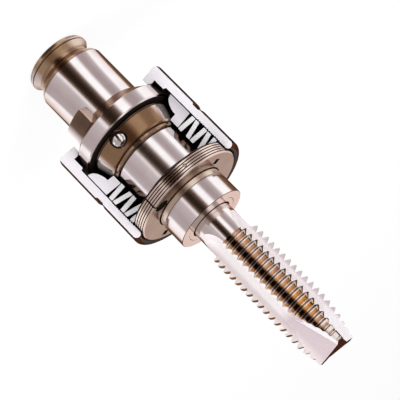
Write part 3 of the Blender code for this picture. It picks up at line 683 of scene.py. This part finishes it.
def buildSpindle():
    size = SimpleNamespace(**stem)
    high, drum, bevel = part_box("spindle")[1].z / mm, size.drum, size.noseBevel
    outline = [(0.0, size.low), (size.stemRadius - 0.4, size.low),
               (size.stemRadius, size.low + 0.4), (size.stemRadius, size.shoulder),
               (size.journal, size.shoulder), (size.journal, size.grooveLow),
               (size.groove, size.grooveLow), (size.groove, size.drumLow),
               (drum - 0.15, size.drumLow), (drum, size.drumLow + 0.15),
               (drum, size.drumHigh - size.drumBevel), (drum - size.drumBevel, size.drumHigh),
               (size.nose, size.drumHigh), (size.nose, high - bevel), (size.nose - bevel, high),
               (size.bore + bevel, high), (size.bore, high - bevel),
               (size.bore, size.squareHigh), (0.0, size.squareHigh)]
    body = asObject("spindleTurned", spunMesh(outline, 192, closed=False), [drumSteel, paleFace])
    socket = blockMesh(size.square, size.square, size.socketLength,
                       (0, 0, size.squareHigh + 0.7 - size.socketLength / 2))
    cutters = [asObject("socketCutter", socket)]
    for name, azimuth in cage["balls"].items():
        cutters.append(asObject(name + "Pocket", ballMesh(
            cage["ballRadius"] + 0.3, place(cage["ballReach"], azimuth, cage["ballHeight"]))))
    for number in range(3):
        cutters.append(asObject(f"lockHole{number}", radialBar(
            size.lockRadius, *size.lockEnds, size.lockAzimuth + 120.0 * number,
            size.lockHeight, 32)))
    carve(body, cutters)
    paintFaces(body, (1, within(high - bevel + 0.02)))
    finishPiece(body, "spindle", ["spindle"])


def buildCollarSpring():
    size = SimpleNamespace(**stem)
    low, high = (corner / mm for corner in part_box("collar_spring"))
    ring = arcPoints((high.x - size.wire, low.z + size.wire), size.wire, 0, 330, 11)
    work = spunMesh(ring, 100, sweep=360.0 * size.coils, rise=high.z - low.z - 2 * size.wire)
    coil = finishPiece(asObject("collarSpringWound", closeMesh(work), [brownSteel]), "spindle",
                       ["collar_spring"], sharp=60.0)
    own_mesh(coil)


buildSpindle()
buildCollarSpring()
for name, finish in (("spindle_snap_ring", brownSteel), ("collar_snap_ring", blackSteelAndShade),
                     ("lock_ball_1", ballSteel), ("lock_ball_2", ballSteel),
                     ("lock_ball_3", ballSteel)):
    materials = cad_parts[name].data.materials
    materials.clear()
    materials.append(finish)
print("spindle modelled")


nut = {
    "radius": 15.1, "bore": 9.85, "low": 48.17, "high": 51.97, "bevel": 0.4, "boreBevel": 0.1,
    "grooveLow": 48.62, "groovePitch": 0.69, "grooveDepth": 0.28, "grooves": 4,
    "slit": 0.45, "slitAzimuth": -58.0, "slitInner": 9.1, "slitLength": 8.0, "slitHeight": 12.0,
    "notchAzimuths": (-154.0, 34.0), "notchRadii": (11.9, 12.9), "notchLength": 1.8,
    "notchWidth": 1.8, "notchDepth": 1.4,
    "screwRadius": 1.3, "screwGap": 0.6, "screwReach": 12.1, "screwSink": 0.5, "screwLength": 2.2,
    "hexRadius": 0.68, "hexDepth": 1.1,
    "plugAzimuth": -107.0, "plugRadius": 0.42, "plugEnds": (13.4, 14.85),
    "plugGap": 0.1, "plugHole": (13.2, 16.0),
}


def buildNut():
    size = SimpleNamespace(**nut)
    radius, bore, low, high = size.radius, size.bore, size.low, size.high
    outline = [(bore, low), (radius - size.bevel, low)]
    for turn in range(size.grooves + 1):
        here, half = size.grooveLow + turn * size.groovePitch, size.groovePitch * 0.2
        outline += [(radius, here - half), (radius - size.grooveDepth, here),
                    (radius, here + half)]
    outline += [(radius, high - 0.25), (radius - 0.25, high), (bore + size.boreBevel, high),
                (bore, high - size.boreBevel)]
    ring = asObject("nutTurned", spunMesh(outline, 192),
                    [threadSteel, faceSteel, blackSteelAndShade, grooveShade, brownSteel])
    middle = (low + high) / 2
    cutters = [asObject("slitCutter", blockMesh(
        size.slitLength, size.slit, size.slitHeight,
        place(size.slitInner + size.slitLength / 2, size.slitAzimuth, middle),
        size.slitAzimuth))]
    screw = place(size.screwReach, size.slitAzimuth)
    top = high - size.screwSink
    hole = barMesh(size.screwRadius + size.screwGap, top - size.screwLength - 0.3, high + 1.0)
    cutters.append(asObject("screwCutter", moveMesh(hole, screw)))
    for number, azimuth in enumerate(size.notchAzimuths):
        cutters.append(asObject(f"notchCutter{number}", blockMesh(
            size.notchLength, size.notchWidth, 2 * size.notchDepth,
            place(size.notchRadii[number], azimuth, high), azimuth)))
    cutters.append(asObject("pinCutter", radialBar(
        size.plugRadius + size.plugGap, *size.plugHole, size.plugAzimuth, middle, 24)))
    carve(ring, cutters)
    # the face, painted shade in black on what is cut into it and on the underside, painted shade in
    # the outer grooves, and the bore
    paintFaces(ring, (1, within(high - 0.02)), (2, within(high=high - 0.02, outer=radius - 0.35)),
               (3, within(high=high - 0.3, inner=radius - 0.35, outer=radius - 0.1)),
               (4, within(outer=bore + 0.3)))
    finishPiece(ring, "adjusting_nut", ["adjusting_nut"])
    # socket-head screw beside the slit
    head = barMesh(size.screwRadius, top - size.screwLength, top, 48)
    rims = [edge for edge in head.edges
            if all(abs(vert.co.z - top) < 1e-4 for vert in edge.verts)]
    bmesh.ops.bevel(head, geom=rims, offset=0.18, segments=3, profile=0.5, affect="EDGES",
                    material=-1)
    socket = moveMesh(barMesh(size.hexRadius, top - size.hexDepth, top + 1.0, 6), screw)
    made = carve(asObject("lockScrewHead", moveMesh(head, screw), [blackSteelAndShade]),
                 [asObject("hexCutter", socket)])
    finishPiece(made, "adjusting_nut", ["nut_lock_screw"])
    pin = radialBar(size.plugRadius, *size.plugEnds, size.plugAzimuth, middle, 32)
    finishPiece(asObject("lockPlugTurned", pin, [naturalNylon]), "adjusting_nut",
                ["nut_lock_plug"])


buildNut()
print("nut and its screw modelled")


collar = {
    "radius": 9.7, "low": 52.07, "bandHeight": 1.4, "bandDepth": 0.1, "bandSlope": 0.26,
    "edge": 0.12, "guide": 7.3, "guideHigh": 52.87, "ramp": 8.0, "rampLow": 54.47,
    "recess": 8.7, "recessLow": 55.87, "faceWall": 1.7,
}


def buildCollar():
    size = SimpleNamespace(**collar)
    radius, guide, high = size.radius, size.guide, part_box("release_collar")[1].z / mm
    groove = size.low + size.bandHeight
    band = radius - size.bandDepth
    waist = band - size.bandSlope
    outline = [(guide, size.low), (band - 0.15, size.low), (band, size.low + 0.12),
               (waist, groove - 0.06), (waist - 0.1, groove), (waist - 0.1, groove + 0.14),
               (radius, groove + 0.2), (radius, high - size.edge), (radius - size.edge, high),
               (guide + 0.04, high), (guide, high - 0.04), (guide, high - size.faceWall),
               (size.recess, high - size.faceWall), (size.recess, size.recessLow),
               (size.ramp, size.rampLow), (size.ramp, size.guideHigh), (guide, size.guideHigh)]
    ring = asObject("collarTurned", spunMesh(outline, 192),
                    [groundSteel, paleFace, edgeShade, bandSteel])
    # the band, the end face, and painted shade in the groove above the band and on the outer edge
    paintFaces(ring, (3, within(high=groove - 0.06)), (1, within(high - 0.02)),
               (2, within(groove - 0.06, groove + 0.2, 9.2)),
               (2, within(high - size.edge, high - 0.02, 9.2)))
    finishPiece(ring, "release_collar", ["release_collar"], sharp=20.0)


buildCollar()
print("collar modelled")


threading = {
    "shank": 5.6, "low": 10.17, "threadLow": 68.17, "tip": 105.17, "radius": 7.0,
    "pitch": 2.0, "depth": 1.3, "crest": 0.28, "root": 0.24, "leadLength": 6.7, "leadDrop": 1.1,
    "tipBevel": 0.15, "runOut": 0.9, "square": 9.0, "squareLength": 12.0,
    "core": 2.9, "landAzimuth": -99.0, "landAngle": 60.0,
    "fluteLow": 69.0, "wheelRadius": 5.0, "wheelSweep": 70.0,
    "pointLength": 13.17, "heelShift": 12.0, "heelWidth": 5.0,
    # sections of the spiral point's cut where it starts and at the tip, (outward, sideways) from
    # the axis along the flute's middle: wall, corner, crease in the floor, far edge, two outside
    "pointStart": [(7.91, -6.11), (2.97, 0.85), (3.4, 1.5), (6.9, 4.0), (11.0, 5.0),
                   (11.0, -7.0)],
    "pointEnd": [(4.26, -8.35), (1.69, -2.88), (3.42, 2.13), (5.3, 5.6), (11.0, 7.0),
                 (11.0, -9.0)],
}


def threadedBar():
    # one long tooth profile is turned once while it rises by the pitch, so that the teeth join
    size = SimpleNamespace(**threading)
    radius, pitch, tip, low = size.radius, size.pitch, size.tip, size.threadLow
    root = radius - size.depth
    flank = (pitch - size.crest - size.root) / 2
    teeth = round((tip - low) / pitch) + 5
    outline = []
    for tooth in range(teeth):
        foot = low - 2.5 * pitch + tooth * pitch
        rim = foot + size.root + flank
        outline += [(root, foot), (root, foot + size.root), (radius, rim),
                    (radius, rim + size.crest)]
    outline.append((root, low - 2.5 * pitch + teeth * pitch))
    work = spunMesh(outline, 120, closed=False, rise=pitch)
    for height, keepAbove in ((low, True), (tip + 0.6, False)):
        everything = work.verts[:] + work.edges[:] + work.faces[:]
        bmesh.ops.bisect_plane(work, geom=everything, plane_co=(0, 0, height),
                               plane_no=(0, 0, 1), clear_inner=keepAbove,
                               clear_outer=not keepAbove)
    bar = asObject("threadedBar", closeMesh(work))
    # the teeth rise at the neck and are ground down in a cone at the tip
    slope = size.leadDrop / (size.leadLength - size.tipBevel)
    wide, foot, worn = radius + 0.2, size.shank + size.runOut, radius - size.leadDrop
    outline = [(0.0, low - 1.0), (foot, low - 1.0), (foot, low),
               (wide, low + (wide - foot) / size.runOut),
               (wide, tip - size.leadLength - 0.2 / slope), (worn, tip - size.tipBevel),
               (worn - size.tipBevel, tip), (0.0, tip)]
    return carve(bar, [asObject("leadCone", spunMesh(outline, 160, closed=False))], "INTERSECT")


def pointCutter(azimuth):
    # what the slanting wheel takes out at the tip
    size = SimpleNamespace(**threading)
    work = bmesh.new()
    low, high = size.tip - size.pointLength, size.tip + 1.0
    for first, last in zip(size.pointStart, size.pointEnd):
        first, last = Vector(first), Vector(last)
        last += (last - first) / size.pointLength
        work.verts.new((first.x, first.y, low))
        work.verts.new((last.x, last.y, high))
    bmesh.ops.convex_hull(work, input=work.verts[:])
    turnMesh(work, azimuth)
    bmesh.ops.recalc_face_normals(work, faces=work.faces)
    return work


def fluteCutter(azimuth, start):
    # a round bar along the flute whose lower end curves outward, as the grinding wheel leaves it
    size = SimpleNamespace(**threading)
    half = math.radians(60.0 - size.landAngle / 2)
    reach = size.radius * math.cos(half) - size.core
    rise = size.radius * math.sin(half)
    radius = (reach ** 2 + rise ** 2) / (2 * reach)
    centre = size.core + radius
    work = bmesh.new()
    bmesh.ops.create_circle(work, cap_ends=True, segments=64, radius=radius)
    moveMesh(work, (centre, 0, start))
    up = bmesh.ops.extrude_face_region(work, geom=work.faces[:])
    lifted = [item for item in up["geom"] if isinstance(item, bmesh.types.BMVert)]
    bmesh.ops.translate(work, verts=lifted, vec=(0, 0, size.tip + 6.0 - start))
    bottom = [f for f in work.faces if all(abs(v.co.z - start) < 1e-4 for v in f.verts)]
    bmesh.ops.spin(work, geom=bottom, cent=(centre + size.wheelRadius, 0, start),
                   axis=(0, 1, 0), angle=math.radians(-size.wheelSweep), steps=16,
                   use_merge=False)
    bmesh.ops.delete(work, geom=bottom, context="FACES_ONLY")
    bmesh.ops.remove_doubles(work, verts=work.verts, dist=1e-4)
    turnMesh(work, azimuth)
    bmesh.ops.recalc_face_normals(work, faces=work.faces)
    return work


def buildTap():
    size = SimpleNamespace(**threading)
    shank, low = size.shank, size.threadLow
    outline = [(0.0, size.low), (shank - 0.5, size.low), (shank, size.low + 0.5),
               (shank, low - 0.6), (shank + 0.25, low + 0.4), (shank - 0.5, low + 1.2),
               (0.0, low + 1.2)]
    body = asObject("tapTurned", spunMesh(outline, 120, closed=False), [
        groundSteel, fluteSteel, goldThread, edgeShade, crestSteel, flankShade, pointSteel])
    carve(body, [threadedBar()], "UNION")
    cutters = [asObject(f"flatCutter{side}", blockMesh(
        6.0, 20.0, 2 * size.squareLength,
        place(size.square / 2 + 3.0, 90.0 * side, size.low), 90.0 * side)) for side in range(4)]
    carve(body, cutters)
    for flute in range(3):
        azimuth = size.landAzimuth + 60.0 + 120.0 * flute
        carve(body, [asObject(f"fluteCutter{flute}", fluteCutter(azimuth, size.fluteLow))])
        carve(body, [asObject(f"pointCutter{flute}", pointCutter(azimuth))])

    def isFlute(centre, normal):
        radius = radiusOf(centre)
        outward = (normal.x * centre.x + normal.y * centre.y) / radius
        return centre.z > size.fluteLow - 7.0 and (outward < 0.97 or radius < 4.5)

    def isThread(centre, normal):
        # thread faces look outward, up or down, and hardly sideways as the flutes do
        radius = radiusOf(centre)
        sideways = abs(normal.y * centre.x - normal.x * centre.y) / radius
        return centre.z > size.threadLow - 0.05 and radius > 4.8 and sideways < 0.3

    def isFlat(centre, normal):
        return isThread(centre, normal) and abs(normal.z) < 0.25

    def isLowFlank(centre, normal):
        return isThread(centre, normal) and normal.z < -0.25

    def isHeel(centre, normal):
        # the edge of each land that follows the cut, darkened with painted shade
        turn = math.degrees(math.atan2(centre.y, centre.x)) - size.landAzimuth
        beside = (turn + 60.0) % 120.0 - 60.0
        share = max(0.0, 1.0 - (size.tip - centre.z) / size.pointLength)
        edge = size.heelShift * share - size.landAngle / 2
        return isThread(centre, normal) and radiusOf(centre) > size.radius - size.depth + 0.05 \
            and beside < edge + size.heelWidth

    def isPoint(centre, normal):
        # the wall of the spiral point's cut
        facing = math.degrees(math.atan2(normal.y, normal.x)) - size.landAzimuth
        beside = facing % 120.0 - 60.0
        return isFlute(centre, normal) and not isThread(centre, normal) \
            and centre.z > size.tip - size.pointLength \
            and 10.0 < beside < 50.0

    # the tip's end face, darkened with painted shade
    def isTip(centre, normal):
        return centre.z > size.tip - 0.3 and normal.z > 0.5
    paintFaces(body, (1, isFlute), (2, isThread), (4, isFlat), (5, isLowFlank), (3, isHeel),
               (6, isPoint), (3, isTip))
    finishPiece(body, "tap", ["tap"], sharp=25.0)


buildTap()
print("tap modelled")


studio = {
    "floorHalf": 6000.0,
    "floorColor": (0.9, 0.9, 0.9),
    "whiteShare": 0.78, "whiteLevel": 1.1,   # how much plain white the camera sees, how bright
    "keyPower": 8.6, "keySpot": (-0.5, -0.9, 0.9),    # lamps in watts and metres
    "fillPower": 7.5, "fillSpot": (0.9, -0.5, 0.6), "lampSize": 0.9, "lampAim": (0, 0, 0.05),
    "worldColor": (0.9, 0.9, 0.92), "worldStrength": 0.45,
    # what polished metal sees low down, by the angle round the axis from the front, in degrees,
    # positive towards -X: (angle, grey or colour)
    "sweep": [(-180, (0.2, 0.12, 0.07)), (-138, (0.24, 0.15, 0.09)), (-130, (1.15, 1.13, 1.13)),
              (-92, (1.15, 1.13, 1.13)), (-84, (0.5, 0.44, 0.44)), (-60, (0.46, 0.39, 0.39)),
              (-28, (0.58, 0.52, 0.52)), (-19, (1.05, 1.02, 1.02)), (-15, (0.2, 0.12, 0.08)),
              (-8, (0.028, 0.016, 0.010)), (4, (0.020, 0.012, 0.008)), (12, (0.075, 0.045, 0.03)),
              (18, (0.22, 0.15, 0.12)), (24, (1.15, 1.15, 1.15)), (38, (1.15, 1.15, 1.15)),
              (46, (0.44, 0.36, 0.36)), (60, (0.42, 0.35, 0.35)), (74, (0.56, 0.5, 0.5)),
              (82, (1.15, 1.15, 1.15)), (113, (1.15, 1.13, 1.13)), (121, (0.24, 0.14, 0.08)),
              (180, (0.2, 0.12, 0.07))],
    # the same for metal that looks upward
    "sky": [(-180, (0.8, 0.66, 0.6)), (-150, (0.8, 0.68, 0.64)), (-128, (0.9, 0.88, 0.87)),
            (-112, (0.45, 0.4, 0.37)), (-24, (0.4, 0.36, 0.33)), (-12, (0.12, 0.08, 0.06)),
            (4, (0.09, 0.06, 0.04)), (14, (0.35, 0.3, 0.28)), (28, (1.0, 0.98, 0.96)),
            (46, (1.0, 0.98, 0.95)), (60, (0.42, 0.36, 0.31)), (82, (0.42, 0.36, 0.32)),
            (96, (0.95, 0.9, 0.88)), (130, (1.0, 0.95, 0.9)), (150, (0.8, 0.68, 0.64)),
            (180, (0.8, 0.66, 0.6))],
}


def sweepPattern(tree, coordinates, tones):
    # the angle round the axis picks a tone from the list of tones
    x, y, z = addNode(tree, "SeparateXYZ", {0: coordinates}).outputs
    angle = mathNode(tree, "ARCTAN2", mathNode(tree, "MULTIPLY", x, -1.0),
                     mathNode(tree, "MULTIPLY", y, -1.0))
    share = mathNode(tree, "ADD", mathNode(tree, "DIVIDE", angle, 2 * math.pi), 0.5)
    ramp = addNode(tree, "ValToRGB", {0: share})
    stops = ramp.color_ramp.elements
    for index, (turn, tone) in enumerate((tones[0], tones[-1])):
        stops[index].position = (turn + 180.0) / 360.0
        stops[index].color = (*tone, 1.0)
    for turn, tone in tones[1:-1]:
        stops.new((turn + 180.0) / 360.0).color = (*tone, 1.0)
    return ramp.outputs[0]


def buildFloor():
    made, tree = newMaterial("paleFloor")
    work = bmesh.new()
    bmesh.ops.create_grid(work, x_segments=1, y_segments=1, size=studio["floorHalf"])
    floor = asObject("floor", work, [made])
    shader = tree.nodes["Principled BSDF"]
    fillInputs(tree, shader, {"Base Color": studio["floorColor"], "Roughness": 0.9,
                              "Specular IOR Level": 0.0})
    rays = addNode(tree, "LightPath").outputs
    white = addNode(tree, "Emission", {"Strength": studio["whiteLevel"]})
    seen = addNode(tree, "MixShader", {
        0: mathNode(tree, "MULTIPLY", rays["Is Camera Ray"], studio["whiteShare"]),
        1: shader.outputs[0], 2: white.outputs[0]})
    bands = addNode(tree, "Emission", {
        "Color": sweepPattern(tree, objectPlace(tree), studio["sweep"])})
    mirrored = addNode(tree, "MixShader", {0: rays["Is Glossy Ray"], 1: seen.outputs[0],
                                           2: bands.outputs[0]})
    fillInputs(tree, tree.nodes["Material Output"], {"Surface": mirrored.outputs[0]})


def buildLamp(name, power, spot):
    data = bpy.data.lights.new(name, "AREA")
    data.energy = power
    data.shape = "SQUARE"
    data.size = studio["lampSize"]
    lamp = bpy.data.objects.new(name, data)
    lamp.location = spot
    aim = Vector(studio["lampAim"]) - Vector(spot)
    lamp.rotation_euler = aim.to_track_quat("-Z", "Y").to_euler()
    lamp.visible_glossy = False
    bpy.context.scene.collection.objects.link(lamp)


def buildWorld():
    world = bpy.data.worlds.new("studioWorld")
    bpy.context.scene.world = world
    world.use_nodes = True
    tree = world.node_tree
    plain = tree.nodes["Background"]
    fillInputs(tree, plain, {"Color": studio["worldColor"], "Strength": studio["worldStrength"]})
    around = addNode(tree, "TexCoord").outputs["Generated"]
    bands = addNode(tree, "Background", {"Color": sweepPattern(tree, around, studio["sky"])})
    glossy = addNode(tree, "LightPath").outputs["Is Glossy Ray"]
    mix = addNode(tree, "MixShader", {0: glossy, 1: plain.outputs[0], 2: bands.outputs[0]})
    fillInputs(tree, tree.nodes["World Output"], {"Surface": mix.outputs[0]})


buildFloor()
buildWorld()
buildLamp("keyLamp", studio["keyPower"], studio["keySpot"])
buildLamp("fillLamp", studio["fillPower"], studio["fillSpot"])
print("studio built")


view = {
    "elevation": 17.2,          # degrees above the horizontal
    "distance": 435.0,          # from the camera to the knob's end, along the line of sight
    "pixelsPerMm": 3.878,        # at that distance
    "picture": 400.0,           # pixels across
    "knobEnd": (55.2, 59.1),    # where the knob's end lies in the picture
    "axisRight": 0.7000, "axisDown": 0.7141,   # how +Z runs in the picture
}


def buildCamera():
    size = SimpleNamespace(**view)
    lift = math.radians(size.elevation)
    forward = Vector((0, math.cos(lift), -math.sin(lift)))
    levelRight = Vector((1, 0, 0))
    levelUp = levelRight.cross(forward)
    right = -size.axisDown * levelRight + size.axisRight * levelUp
    up = -size.axisRight * levelRight - size.axisDown * levelUp
    across = (size.knobEnd[0] - size.picture / 2) / size.pixelsPerMm
    above = (size.picture / 2 - size.knobEnd[1]) / size.pixelsPerMm
    spot = -(forward * size.distance + right * across + up * above) * mm
    data = bpy.data.cameras.new("camera")
    data.sensor_width = 36.0
    data.lens = (size.pixelsPerMm * size.distance / size.picture) * data.sensor_width
    data.clip_start = 0.01
    camera = bpy.data.objects.new("camera", data)
    turn = Matrix((right, up, -forward)).transposed().to_4x4()
    camera.matrix_world = Matrix.Translation(spot) @ turn
    bpy.context.scene.collection.objects.link(camera)
    bpy.context.scene.camera = camera


buildCamera()
bpy.context.scene.view_settings.view_transform = "Standard"
print("camera placed")
